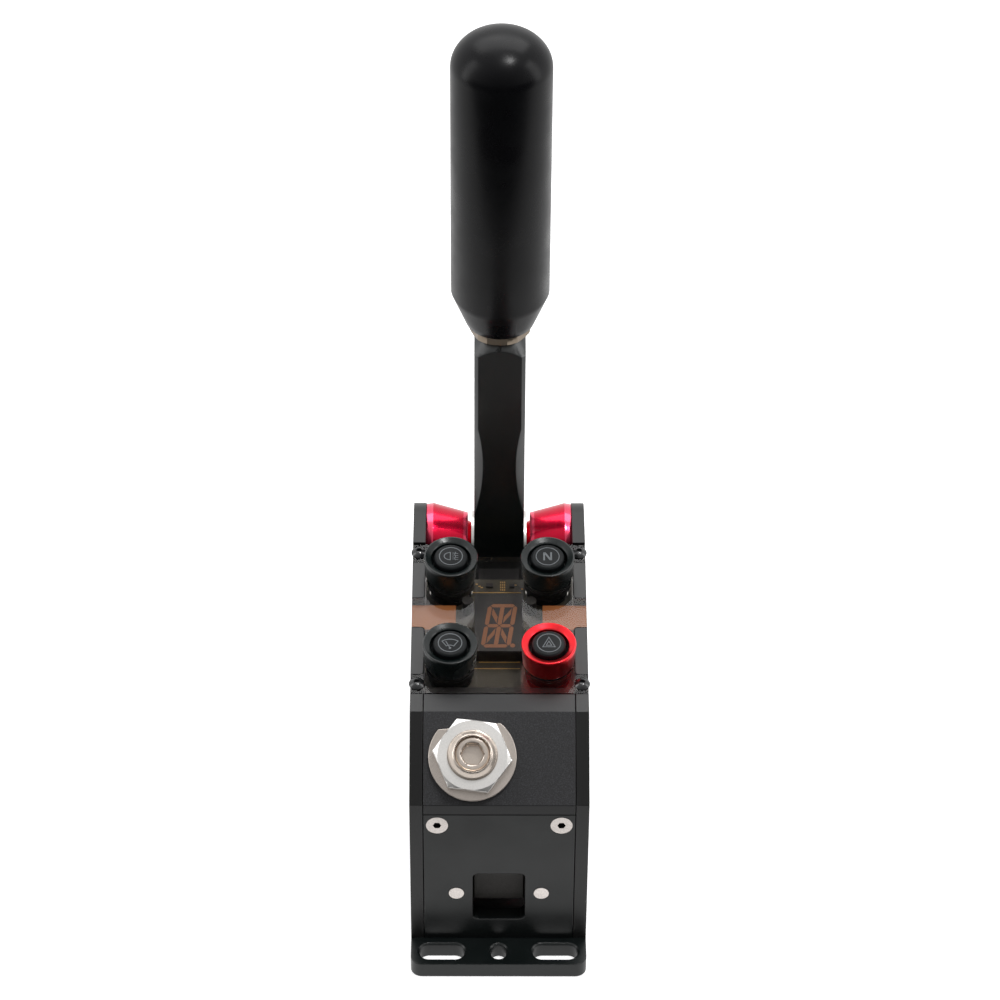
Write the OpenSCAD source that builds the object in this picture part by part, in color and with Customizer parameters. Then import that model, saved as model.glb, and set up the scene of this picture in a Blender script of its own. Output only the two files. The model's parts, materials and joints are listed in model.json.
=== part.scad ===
// Sequential gear shifter for a driving simulator.
// Side plates on a slotted base carry a tilting lever, a button panel and a sprung rocker.
// Millimetres. X is across, -Y is the driver's side, +Z is up, z = 0 is the mounting surface.

/* [Frame] */
// Width over the two side plates, and of the base
body_w = 62; // [58:1:80]
// Length of the side plates from the front face to the rear
body_l = 134; // [130:1:150]
// Thickness of each side plate
side_t = 4.5; // [3:0.5:6]
// Thickness of the base plate
base_t = 6; // [5:0.5:10]
// How far the base reaches past the body at each end
flange_l = 13; // [12:0.5:20]
// Corner radius of the base plate
base_r = 4; // [2:0.5:6]
// Height of the front edge where the sloping nose starts
nose_z = 71; // [70:1:76]
// Slope of the nose from level
slant_deg = 40; // [38:1:42]
// Length of the nose slope
slant_l = 32.5; // [31:0.5:36]
// Slope of the button panel from level
panel_deg = 8; // [6:1:9]
// Height of the plain front lip of the nose block
lip_h = 4.5; // [3:0.5:6]
// Thickness of the front plate
plate_t = 6; // [5:0.5:8]
// Thickness of the rear plate
rear_t = 9; // [8.5:0.5:10]
// Height of the rear plate above the base
rear_h = 42; // [30:1:44]

/* [Base slots] */
// Distance between the slots across the base
slot_pitch = 40; // [38:0.5:42]
// Width of a slot
slot_w = 7; // [5.5:0.1:7.4]
// End to end length of a slot
slot_l = 16; // [12:0.1:17]
// Chamfer round the upper rim of the slots and the middle hole
slot_rim = 0.6; // [0.3:0.1:1]
// Width of the middle hole
mid_hole_w = 5.5; // [5:0.1:6]
// Length of the middle hole along the body
mid_hole_l = 6.7; // [6.7:0.1:8.6]

/* [Front plate] */
// Width of the socket window
window_w = 18.2; // [17:0.2:22]
// Height of the socket window
window_h = 22.5; // [20:0.5:24]
// Height of the window's lower edge above the base
window_up = 9.4; // [6:0.2:12]
// Corner radius of the window
window_r = 2; // [1:0.5:3]
// Distance of the two front screws from each other
front_screw_pitch = 43; // [38:0.5:44]
// Distance of the front screws below the plate's upper edge
front_screw_drop = 4.9; // [4.5:0.1:6]
// Distance of the two board studs from each other
stud_pitch = 29.8; // [26:0.2:34]
// Height of the board studs above the base
stud_up = 22.3; // [18:0.1:26]
// Diameter of the board studs
stud_d = 5.3; // [4:0.1:6]

/* [Pivot] */
// Height of the lever pivot
pivot_z = 89.5; // [88:0.5:90]
// Radius of the side plate ear around the pivot
ear_r = 14; // [13:0.5:14]
// Diameter of the pivot axle
axle_d = 8; // [6:0.5:9]
// Large radius of the tapered spacers
cone_r1 = 14; // [12:0.5:14]
// Small radius of the tapered spacers
cone_r2 = 11; // [9:0.5:11]
// Width of the large rim of a spacer
cone_rim1 = 2.6; // [2:0.1:4]
// Width of the small rim of a spacer
cone_rim2 = 1.6; // [1:0.1:3]
// How much smaller a spacer's rims are at their ends, on the radius
cone_drop = 0.4; // [0.2:0.1:0.8]
// Radius of the short hub of a spacer
cone_hub_r = 7; // [6:0.5:9]
// Width of the short hub of a spacer
cone_hub_w = 1.3; // [0.8:0.1:2.5]
// Radius of the thrust washers beside the lever
thrust_r = 11.2; // [9:0.1:12]
// Thickness of the thrust washers
thrust_t = 0.95; // [0.6:0.05:1.5]

/* [Lever] */
// Width of the lever bar
lever_w = 18; // [17:0.5:20]
// Depth of the lever bar from front to back
lever_d = 20; // [19:0.5:22]
// Height of the lever's upper end
lever_top = 186; // [170:1:200]
// Swing of the lever to each side of its rest, in degrees
lever_swing = 7; // [5:0.5:7]
// Length of the lever below the pivot
lever_tail = 30; // [28:0.5:31]
// Edge chamfer on the upper half of the lever
lever_edge = 1.3; // [0.8:0.1:2]
// Height of the middle of the lever's scallops
scallop_z = 132; // [126:1:140]
// Length of a scallop
scallop_l = 44.5; // [36:0.5:50]
// How far a scallop eats into each face at its middle
scallop_cut = 3.1; // [2:0.1:4.5]
// Radius of the turned end below the lock nut
turned_r = 7.2; // [7:0.1:8]
// Outer diameter of the two lever bearings
bearing_d = 16; // [14:0.5:17]
// Width of a lever bearing
bearing_w = 5; // [4:0.5:7]

/* [Grip] */
// Diameter of the grip
grip_d = 34.2; // [30:0.1:38]
// Height of the grip's straight part
grip_straight = 90; // [70:1:110]
// Height of the tapered lower end
grip_taper = 13.5; // [8:0.5:18]
// Diameter of the grip's lower rim
grip_foot_d = 24; // [22:0.5:26]
// Height of the domed top
grip_dome = 13; // [8:0.5:17]
// Diameter of the threaded stud in the grip
stud_grip_d = 12; // [10:0.5:13]
// Depth of the stud in the grip
stud_grip_l = 42; // [30:1:50]
// Depth of the stud in the lever
stud_lever_l = 24; // [15:1:28]
// Size of the lock nut across its flats
lock_nut_af = 20.2; // [19:0.1:22]
// Diameter over the lock nut's rounded corners
lock_nut_d = 21.4; // [20.6:0.1:23]
// Thickness of the lock nut
lock_nut_t = 3.5; // [3:0.1:6]

/* [Button panel] */
// Thickness of the clear cover
cover_t = 4; // [3:0.5:5]
// Distance of the cover's front edge from the top of the nose slope
cover_start = 8.2; // [7:0.1:9]
// Level distance from the cover's rear edge to the lever pivot
cover_to_pivot = 17.9; // [17:0.1:19]
// Depth of the cover's notch for the lever
lever_notch_l = 6; // [4:0.5:7]
// Width of the cover's notch for the lever
lever_notch_w = 26; // [22:1:30]
// Distance of the side plates' front tabs from the cover's front edge
tab_front = 8.4; // [7.5:0.1:9]
// Distance of the side plates' rear tabs from the cover's rear edge
tab_rear = 8.5; // [8:0.1:9.5]
// Length of the cover's full width between the two tabs
band_l = 13.5; // [12.5:0.1:14.5]
// Front tab's share of the length that the two tabs have together
tab_share = 0.56; // [0.5:0.01:0.6]
// Distance of the button columns from the body's sides
button_inset = 13.8; // [13.6:0.1:14.2]
// Distance of the front buttons from the cover's front edge
button_front = 15; // [14:0.1:16]
// Distance of the rear buttons from the cover's rear edge
button_rear = 14.2; // [13.5:0.1:15]
// Outer diameter of a button bezel
bezel_d = 19.2; // [18.8:0.1:19.6]
// Diameter of a bezel where it sits on the cover
bezel_foot_d = 18.2; // [17.6:0.1:18.8]
// Height of a bezel above the cover
bezel_h = 9.3; // [7:0.1:11]
// Diameter of the threaded neck below a bezel
neck_d = 14.8; // [14:0.1:15]
// Length of the threaded neck below the cover's upper face
neck_l = 14; // [13:0.5:16]
// Width of the ring nut on a neck
bezel_nut_w = 1; // [0.8:0.1:1.2]
// Thickness of the ring nut on a neck
bezel_nut_t = 2.6; // [2:0.1:4]
// Diameter of a button cap
cap_d = 11.8; // [11:0.1:12]
// Gap between a cap and its bezel's mouth
cap_gap = 1.1; // [0.4:0.1:1.3]
// How far a cap stands above its bezel
cap_proud = 0.1; // [0:0.1:1]
// Height of a cap from its flange to its upper face
cap_h = 6.4; // [5:0.2:8]
// Diameter of the bezel's flared mouth
mouth_d = 18.2; // [16:0.1:18.2]
// Depth of the bezel's flared mouth
mouth_h = 1; // [0.6:0.1:3]
// Travel of a button
button_travel = 1.2; // [0.5:0.1:1.4]
// Distance of the front cover screws from the cover's front edge
cover_screw_front = 4.1; // [2.8:0.1:5]
// Distance of the rear cover screws from the cover's rear edge
cover_screw_rear = 4.2; // [3.4:0.1:5.6]

/* [Display] */
// How far the display sits behind the middle of the four buttons
display_shift = 0.5; // [-1:0.1:1]
// Width of the display
display_w = 17.4; // [15:0.2:18]
// Length of the display
display_l = 27; // [25:0.5:27.5]
// Height of the display
display_h = 5.4; // [5:0.1:6.5]
// Air between the cover and the display
display_air = 0.9; // [0.3:0.1:1.2]
// Thickness of the circuit boards
board_t = 1.6; // [1:0.1:2]
// Length of the light guides along the panel
guide_l = 11.4; // [10:0.2:12]
// How far a light guide reaches in from the body's side
guide_w = 15.6; // [12:0.2:16]
// Thickness of the light guides
guide_t = 3; // [2:0.2:4]

/* [Preload adjuster] */
// Distance of the adjuster from the middle, towards the left
adjuster_x = 9.3; // [8:0.1:10]
// Place of the adjuster up the nose slope
adjuster_s = 16.5; // [16:0.5:17]
// Diameter of the adjuster barrel
barrel_d = 17; // [16:0.2:18]
// Length of the barrel inside the nose
barrel_in = 44.5; // [44:0.5:45.5]
// How far the barrel stands out of its nut
barrel_out = 4.4; // [3:0.2:6]
// Bore of the barrel
barrel_bore = 12; // [11:0.1:13]
// Length of the plunger's guide at the barrel's inner end
guide_ring = 3.6; // [3:0.2:4]
// Size of the adjuster nut across its flats
nut_af = 24; // [22:0.5:26]
// Thickness of the adjuster nut
nut_t = 5.5; // [4:0.5:8]
// Turn of the nut as tightened
nut_turn = 7; // [0:1:59]
// Diameter of the adjuster washer
washer_d = 30.4; // [28:0.2:32]
// Thickness of the adjuster washer
washer_t = 2; // [1:0.1:3]
// Distance of the washer's flat from its middle
washer_flat = 10.7; // [10:0.1:13]
// Length of the preload screw
preload_l = 8; // [6:0.5:10]
// How far the preload screw sits below the barrel's end
preload_sink = 0.8; // [0.3:0.1:2]
// Hex socket of the preload screw across its flats
preload_hex = 7; // [5:0.5:7.5]
// Thickness of the cap on the preload spring
spring_cap_t = 3; // [2:0.2:4]
// Diameter of the plunger
plunger_d = 10; // [9:0.1:10.4]

/* [Rocker and springs] */
// Width of the rocker arm
rocker_w = 14.6; // [12:0.2:16]
// Thickness of the rocker arm
rocker_t = 10; // [8:0.5:11]
// Length of the rocker's pad under the plunger
pad_l = 16; // [14:0.5:18]
// Wire of the springs
wire_d = 1.4; // [1:0.1:1.6]
// Mean diameter of the preload spring
preload_spring_d = 9; // [8:0.1:9.4]
// Turns of the preload spring
preload_turns = 6; // [4:1:8]
// Mean diameter of the return spring
return_spring_d = 11; // [9:0.1:13]
// Turns of the return spring
return_turns = 4; // [4:1:5]
// Length of the return spring
return_l = 18; // [16:0.5:18.5]

/* [Fasteners] */
// Head diameter of the countersunk screws in the plates
csk_d = 7.6; // [6.5:0.1:8]
// Shank diameter of the countersunk screws in the plates
shank_d = 4; // [3:0.5:4]
// Length of the countersunk screws
csk_l = 12; // [10:0.5:14]
// Head diameter of the screws under the base
foot_csk_d = 4.4; // [4:0.1:4.5]
// Shank diameter of the screws under the base
foot_shank_d = 2.2; // [2:0.1:2.4]
// Head diameter of the cover screws
button_head_d = 5.5; // [4.5:0.1:5.7]
// Head height of the cover screws
button_head_h = 1.7; // [1.2:0.1:2.2]
// Shank diameter of the cover screws
cover_shank_d = 2.6; // [2:0.1:3]

/* [Hidden] */
$fn = 64;

// Clearances
fit = 0.02;           // shaft in its bore, on the radius
thread = 0.05;        // screw in its thread, on the radius
seam = 0.2;           // between plates that meet edge to edge
slide_gap = 0.3;      // round sliding parts, on the radius
side_gap = 0.05;      // lever against its thrust washers
touch_gap = 0.45;     // plunger tip above the rocker pad
cut = 1;              // overshoot of a cutting tool
edge = 0.6;           // small edge break
tab_r = 1.2;          // corner radius of the side plate tabs

black = "#1d1e20";
satin = "#2a2b2d";
red = "#d3202f";
steel = "#c9c6c0";

// Places worked out from the sizes
front_y = -body_l / 2;
rear_y = body_l / 2;
inner_w = body_w - 2 * side_t;
base_l = body_l + 2 * flange_l;
pivot_y = rear_y - ear_r;
panel_y = front_y + slant_l * cos(slant_deg);
panel_z = nose_z + slant_l * sin(slant_deg);
lip_z = nose_z - lip_h;
front_h = lip_z - seam - base_t;
cover_end = (pivot_y - cover_to_pivot - panel_y) / cos(panel_deg);
cover_l = cover_end - cover_start;
tab1_start = cover_start + tab_front;
tabs_l = cover_l - tab_front - tab_rear - band_l;
tab1_l = tabs_l * tab_share;
tab2_l = tabs_l - tab1_l;
tab2_start = cover_end - tab_rear - tab2_l;
tabs = [[tab1_start, tab1_l], [tab2_start, tab2_l]];
button_row1 = cover_start + button_front;
button_row2 = cover_end - button_rear;
display_s = (button_row1 + button_row2) / 2 + display_shift;
guide_start = tab2_start - (band_l + guide_l) / 2;
side_mid = (body_w - side_t) / 2;
screw_s = [cover_start + cover_screw_front, cover_end - cover_screw_rear];
cone_l = (inner_w - lever_w) / 2 - side_gap - thrust_t - cone_rim1 - cone_rim2 - cone_hub_w;
board_n = -cover_t - display_air - display_h - board_t;
lock_nut_z = lever_top;
lock_nut_turn = 6;
grip_z = lock_nut_z + lock_nut_t;
bearing_in = lever_w / 2 - bearing_w;
stack_t = washer_t + nut_t;
barrel_top = stack_t + barrel_out;
preload_top = barrel_top - preload_sink;
cap_top_n = preload_top - preload_l;

// The pivot seen from the adjuster, along the nose slope and into it
to_pivot_y = pivot_y - (front_y + adjuster_s * cos(slant_deg));
to_pivot_z = pivot_z - (nose_z + adjuster_s * sin(slant_deg));
arm_r = to_pivot_y * cos(slant_deg) + to_pivot_z * sin(slant_deg);
contact_u = to_pivot_y * sin(slant_deg) - to_pivot_z * cos(slant_deg);
flange_h = 3.4;
plunger_travel = arm_r * lever_swing * PI / 180;
flange_u = barrel_in - guide_ring - flange_h - plunger_travel - slide_gap;
pad_low = -touch_gap - rocker_t;

button_x = body_w / 2 - button_inset;
button_places = [
    [-button_x, button_row2], [button_x, button_row2],
    [-button_x, button_row1], [button_x, button_row1]
];

// Frames of reference

// The button panel: x across, y up the panel from the top of the nose slope, z out of it
module on_panel() {
    translate([0, panel_y, panel_z]) rotate([panel_deg, 0, 0]) children();
}

// The adjuster's axis: z out of the nose slope, 0 at its face
module on_adjuster() {
    translate([0, front_y, nose_z]) rotate([slant_deg, 0, 0])
        translate([-adjuster_x, adjuster_s, 0]) children();
}

// The pivot with y up the nose slope, so that the rocker pad lies in the plane z = 0
module on_rocker() {
    translate([0, pivot_y, pivot_z]) rotate([slant_deg, 0, 0]) children();
}

// A side view outline in Y and Z, given thickness along X from x0
module side_slab(x0, thick) {
    translate([x0, 0, 0]) rotate([90, 0, 90]) linear_extrude(thick) children();
}

// Shared shapes

module along_x() {
    rotate([0, 90, 0]) children();
}

module round_box(size, r) {
    x = size[0] / 2 - r;
    y = size[1] / 2 - r;
    linear_extrude(size[2]) {
        square([2 * x, size[1]], center = true);
        square([size[0], 2 * y], center = true);
        for (i = [-1, 1], j = [-1, 1]) translate([i * x, j * y]) circle(r);
    }
}

module slot(length, width, height) {
    linear_extrude(height) {
        square([length - width, width], center = true);
        for (i = [-1, 1]) translate([i * (length - width) / 2, 0]) circle(d = width);
    }
}

module ring(d_out, d_in, height) {
    difference() {
        cylinder(d = d_out, h = height);
        translate([0, 0, -cut]) cylinder(d = d_in, h = height + 2 * cut);
    }
}

// Countersunk screw with its head's face at z = 0 and its shank down -z
module csk_screw(head_d, shank, length, socket) {
    head_h = (head_d - shank) / 2;
    difference() {
        union() {
            translate([0, 0, -head_h]) cylinder(d1 = shank, d2 = head_d, h = head_h);
            translate([0, 0, -length]) cylinder(d = shank, h = length - head_h);
        }
        translate([0, 0, -head_h * 0.8]) cylinder(d = socket / cos(30), h = head_h + cut, $fn = 6);
    }
}

// The hole for that screw, with the thread clearance all round
module csk_hole(head_d, shank, length) {
    head_h = (head_d - shank) / 2;
    translate([0, 0, -head_h]) cylinder(d1 = shank + 2 * thread, d2 = head_d + 2 * thread, h = head_h);
    translate([0, 0, -length - thread]) cylinder(d = shank + 2 * thread, h = length + cut);
    cylinder(d = head_d + 2 * thread, h = cut);
}

// Points of a spring's middle line along z, with a closed last turn at each end
function spring_at(t, turns, d, pitch_l, wire) =
    let (lead = wire * 1.35, closed = 1, open = turns - 2 * closed)
    [d / 2 * cos(360 * t), d / 2 * sin(360 * t),
     wire / 2 + (t < closed ? lead * t
        : t > turns - closed ? pitch_l - wire - lead * (turns - t)
        : lead + (t - closed) * (pitch_l - wire - 2 * lead) / open)];

// Least distance between one turn of a spring and the next, less the wire
function spring_gap(turns, d, pitch_l, wire, steps) = min([
    for (i = [0 : steps * (turns - 1)])
        norm(spring_at(i / steps + 1, turns, d, pitch_l, wire)
            - spring_at(i / steps, turns, d, pitch_l, wire))
]) - wire;

// One unbroken round wire wound along z
module spring(turns, d, length, wire) {
    steps = 12;
    sides = 6;
    rings = steps * turns;
    spots = [for (i = [0 : rings], k = [0 : sides - 1])
        let (t = i / steps, p = spring_at(t, turns, d, length, wire), a = 360 * k / sides)
        p + wire / 2 * [cos(a) * cos(360 * t), cos(a) * sin(360 * t), sin(a)]];
    walls = [for (i = [0 : rings - 1], k = [0 : sides - 1])
        let (a = i * sides + k, b = i * sides + (k + 1) % sides)
        each [[a, a + sides, b], [b, a + sides, b + sides]]];
    ends = [for (k = [1 : sides - 2]) each [
        [0, k, k + 1],
        [rings * sides, rings * sides + k + 1, rings * sides + k]]];
    polyhedron(spots, concat(walls, ends));
}

echo(preload_spring_gap = spring_gap(preload_turns, preload_spring_d, preload_spring_l, wire_d, 24));
echo(return_spring_gap = spring_gap(return_turns, return_spring_d, return_l, wire_d, 24));
preload_spring_l = cap_top_n - spring_cap_t + flange_u;

// Frame

slot_y = (body_l + flange_l) / 2;
foot_end = 24;
foot_bite = 10;
foot_y = [front_y + foot_end, 0, rear_y - foot_end];
foot_inset = 0.5;
end_plate_y = [front_y + plate_t / 2, rear_y - rear_t / 2];
foot_screw_places = [
    for (i = [-1, 1], y = foot_y) [i * (side_mid - foot_inset), y],
    for (i = [-1, 1], y = end_plate_y) [i * inner_w / 4, y]
];
foot_csk_l = base_t + foot_bite;

module foot_holes() {
    for (p = foot_screw_places) translate([p[0], p[1], 0]) mirror([0, 0, 1])
        csk_hole(foot_csk_d, foot_shank_d, foot_csk_l);
}

// A slot right through the base, with its chamfered upper rim
module rimmed_slot(length, width) {
    rim_z = base_t - slot_rim;
    run = length - width;
    translate([0, 0, -cut]) slot(length, width, base_t + 2 * cut);
    for (i = [-1, 1]) translate([i * run / 2, 0, rim_z])
        cylinder(d1 = width, d2 = width + 2 * slot_rim, h = slot_rim);
    translate([-run / 2, 0, rim_z]) rotate([90, 0, 90]) linear_extrude(run) polygon([
        [-width / 2, 0], [width / 2, 0], [width / 2 + slot_rim, slot_rim], [-width / 2 - slot_rim, slot_rim]
    ]);
}

module base_plate() color(black) difference() {
    round_box([body_w, base_l, base_t], base_r);
    for (j = [-1, 1]) translate([0, j * slot_y, 0]) {
        for (i = [-1, 1]) translate([i * slot_pitch / 2, 0, 0]) rimmed_slot(slot_l, slot_w);
        rotate(90) rimmed_slot(mid_hole_l, mid_hole_w);
    }
    foot_holes();
}

// Outline of a side plate without its tabs
module side_outline() {
    rear_top = pivot_z + ear_r;
    low = -cover_t;
    on_line = [panel_y + cover_end * cos(panel_deg), panel_z + cover_end * sin(panel_deg)];
    polygon([
        [front_y, base_t], [front_y, nose_z], [panel_y, panel_z],
        [panel_y + (cover_start - seam) * cos(panel_deg), panel_z + (cover_start - seam) * sin(panel_deg)],
        [panel_y + (cover_start - seam) * cos(panel_deg) - low * sin(panel_deg),
            panel_z + (cover_start - seam) * sin(panel_deg) + low * cos(panel_deg)],
        [panel_y + (cover_end + seam) * cos(panel_deg) - low * sin(panel_deg),
            panel_z + (cover_end + seam) * sin(panel_deg) + low * cos(panel_deg)],
        [on_line[0] + seam, rear_top], [pivot_y, rear_top], [pivot_y, pivot_z],
        [pivot_y + ear_r, pivot_z], [rear_y, pivot_z - 2 * ear_r], [rear_y, base_t]
    ]);
}

// Tabs that stand flush in the cover's side notches
module side_tabs() {
    on_panel() for (tab = tabs) intersection() {
        translate([-body_w / 2, tab[0] + tab[1] / 2, -cover_t - cut])
            round_box([2 * side_t, tab[1] - 2 * seam, cover_t + cut], tab_r);
        translate([-body_w / 2, tab[0], -cover_t - 2 * cut]) cube([body_w, tab[1], cover_t + 3 * cut]);
    }
}

nose_screw_in = 8.5;
side_screw_places = [
    for (part = [0.36, 0.84]) [
        front_y + part * slant_l * cos(slant_deg) + nose_screw_in * sin(slant_deg),
        nose_z + part * slant_l * sin(slant_deg) - nose_screw_in * cos(slant_deg)],
    [rear_y - rear_t / 2, base_t + rear_h * 0.35], [rear_y - rear_t / 2, base_t + rear_h * 0.8]
];

module side_screw_frame(side) {
    for (p = side_screw_places)
        translate([side * body_w / 2, p[0], p[1]]) rotate([0, side * 90, 0]) children();
}

module axle_screw_frame(side) {
    translate([side * body_w / 2, pivot_y, pivot_z]) rotate([0, side * 90, 0]) children();
}

module side_plate_left() color(black) difference() {
    union() {
        side_slab(-body_w / 2, side_t) side_outline();
        translate([-body_w / 2, pivot_y, pivot_z]) along_x() cylinder(r = ear_r, h = side_t);
        side_tabs();
    }
    on_panel() translate([-body_w / 2 - cut, guide_start - seam, -cover_t - guide_t])
        cube([side_t + 2 * cut, guide_l + 2 * seam, guide_t + cut]);
    side_screw_frame(-1) csk_hole(csk_d, shank_d, csk_l);
    axle_screw_frame(-1) csk_hole(axle_csk_d, axle_shank_d, axle_csk_l);
    translate([-inner_w / 2 - axle_seat, pivot_y, pivot_z]) along_x()
        cylinder(d = axle_d + 2 * fit, h = axle_seat + cut);
    on_panel() for (s = screw_s) translate([-side_mid, s, -cover_t - cover_shank_l])
        cylinder(d = cover_shank_d + 2 * thread, h = cover_shank_l + cut);
    foot_holes();
}

module side_plate_right() mirror([1, 0, 0]) side_plate_left();

front_screw_z = lip_z - seam - front_screw_drop;

module front_screw_frame() {
    for (i = [-1, 1])
        translate([i * front_screw_pitch / 2, front_y, front_screw_z]) rotate([90, 0, 0]) children();
}

module stud_frame() {
    for (i = [-1, 1])
        translate([i * stud_pitch / 2, front_y, base_t + stud_up]) rotate([90, 0, 0]) children();
}

module front_plate() color(satin) difference() {
    translate([-inner_w / 2 + seam, front_y, base_t]) cube([inner_w - 2 * seam, plate_t, front_h]);
    translate([0, front_y - cut, base_t + window_up + window_h / 2]) rotate([-90, 0, 0])
        round_box([window_w, window_h, plate_t + 2 * cut], window_r);
    front_screw_frame() csk_hole(csk_d, shank_d, csk_l);
    stud_frame() translate([0, 0, -plate_t - cut]) cylinder(d = stud_d + 2 * fit, h = plate_t + 2 * cut);
    foot_holes();
}

module rear_plate() color(satin) difference() {
    translate([-inner_w / 2, rear_y - rear_t, base_t]) cube([inner_w, rear_t, rear_h]);
    for (side = [-1, 1]) side_screw_frame(side) csk_hole(csk_d, shank_d, csk_l);
    foot_holes();
}

flange_t = 8;
ledge = 5.6;
belly_y = 24;
belly_rise = 8;

module nose_block() color(satin) {
    flange_drop = 2.4 * front_screw_drop;
    flange_back = plate_t + seam + flange_t;
    back_y = panel_y + (cover_start + ledge) * cos(panel_deg);
    difference() {
        side_slab(-inner_w / 2 + seam, inner_w - 2 * seam) polygon([
            [front_y, lip_z], [front_y, nose_z], [panel_y, panel_z],
            [panel_y + (cover_start - seam) * cos(panel_deg),
                panel_z + (cover_start - seam) * sin(panel_deg)],
            [panel_y + (cover_start - seam) * cos(panel_deg) + cover_t * sin(panel_deg),
                panel_z + (cover_start - seam) * sin(panel_deg) - cover_t * cos(panel_deg)],
            [back_y, panel_z + (back_y - panel_y) * tan(panel_deg) - cover_t / cos(panel_deg)],
            [back_y, nose_z + belly_rise], [front_y + belly_y, lip_z], [front_y + flange_back, lip_z],
            [front_y + flange_back, lip_z - flange_drop], [front_y + plate_t + seam, lip_z - flange_drop],
            [front_y + plate_t + seam, lip_z]
        ]);
        on_adjuster() translate([0, 0, -barrel_in])
            cylinder(d = barrel_d + 2 * thread, h = barrel_in + cut);
        for (side = [-1, 1]) side_screw_frame(side) csk_hole(csk_d, shank_d, csk_l);
        front_screw_frame() csk_hole(csk_d, shank_d, csk_l);
    }
}

module front_screws() color(steel) front_screw_frame() csk_screw(csk_d, shank_d, csk_l, csk_d / 3);

module side_screws() color(black) for (side = [-1, 1]) side_screw_frame(side)
    csk_screw(csk_d, shank_d, csk_l, csk_d / 3);

module base_screws() color(black) for (p = foot_screw_places) translate([p[0], p[1], 0]) mirror([0, 0, 1])
    csk_screw(foot_csk_d, foot_shank_d, foot_csk_l, foot_csk_d / 3);

// Studs pressed into the front plate, which hold the controller board behind it
board_gap = 8;

module front_studs() color(steel) stud_frame() {
    translate([0, 0, -plate_t]) cylinder(d = stud_d, h = plate_t);
    translate([0, 0, -plate_t - board_gap]) cylinder(d = stud_d - 1, h = board_gap);
}

// Button panel

cover_shank_l = 9;
cover_screw_hole = cover_shank_d + 2 * slide_gap;

module top_cover() color("#5a4638", 0.6) on_panel() difference() {
    translate([-body_w / 2, cover_start, -cover_t]) cube([body_w, cover_l, cover_t]);
    for (side = [-1, 1], tab = tabs)
        translate([side * (inner_w / 2 - seam + body_w / 2), tab[0] + tab[1] / 2, -cover_t - cut])
            round_box([body_w, tab[1], cover_t + 2 * cut], tab_r + seam);
    translate([0, cover_end, -cover_t - cut])
        round_box([lever_notch_w, 2 * lever_notch_l, cover_t + 2 * cut], 2 * tab_r);
    for (p = button_places) translate([p[0], p[1], -cover_t - cut])
        cylinder(d = neck_d + 2 * slide_gap, h = cover_t + 2 * cut);
    for (i = [-1, 1], s = screw_s) translate([i * side_mid, s, -cover_t - cut])
        cylinder(d = cover_screw_hole, h = cover_t + 2 * cut);
}

module cover_screws() color("#101112") on_panel() for (i = [-1, 1], s = screw_s)
    translate([i * side_mid, s, 0]) difference() {
        union() {
            rotate_extrude() intersection() {
                translate([0, button_head_h - dome_r]) circle(dome_r);
                square([button_head_d / 2, button_head_h]);
            }
            translate([0, 0, -cover_t - cover_shank_l])
                cylinder(d = cover_shank_d, h = cover_t + cover_shank_l);
        }
        translate([0, 0, button_head_h * 0.35])
            cylinder(d = button_head_d * 0.36 / cos(30), h = button_head_h, $fn = 6);
    }
dome_r = (pow(button_head_d / 2, 2) + pow(button_head_h * 0.8, 2)) / (2 * button_head_h * 0.8);

module light_guide(side) color("#c9a98c") on_panel()
    translate([side > 0 ? body_w / 2 - guide_w : -body_w / 2, guide_start, -cover_t - guide_t])
        cube([guide_w, guide_l, guide_t]);

module light_guide_left() light_guide(-1);
module light_guide_right() light_guide(1);

board_in = 7;
board_back = 3;
board_edge = 0.3;
board_start = cover_start + board_in;
board_end = cover_end - lever_notch_l - board_back;
spacer_d = 4;
spacer_places = [
    for (i = [-1, 1], s = [guide_start - spacer_d, guide_start + guide_l + spacer_d * 0.6])
        [i * (display_w / 2 + 0.65 * spacer_d), s]
];

module display_board() color("#14261c") on_panel() difference() {
    translate([-inner_w / 2 + board_edge, board_start, board_n])
        cube([inner_w - 2 * board_edge, board_end - board_start, board_t]);
    for (p = button_places) translate([p[0], p[1], board_n - cut])
        cylinder(d = neck_d + 2 * slide_gap, h = board_t + 2 * cut);
}

module display_module() color("#26272b") on_panel()
    translate([-display_w / 2, display_s - display_l / 2, board_n + board_t])
        cube([display_w, display_l, display_h]);

module board_spacers() color(steel) on_panel() for (p = spacer_places)
    translate([p[0], p[1], board_n + board_t]) cylinder(d = spacer_d, h = -cover_t - board_n - board_t);

// Buttons

mouth_in_d = cap_d + 2 * cap_gap;
flange_cap_d = mouth_in_d + 1.2;
bore_cap_d = flange_cap_d + 2 * slide_gap;
rim_edge = 0.25;
cap_top = bezel_h + cap_proud;
cap_low = cap_top - cap_h;
cap_flange_t = 1.2;
seat_low = cap_low - button_travel - slide_gap;
lip_low = cap_low + cap_flange_t + slide_gap / 2;

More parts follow.
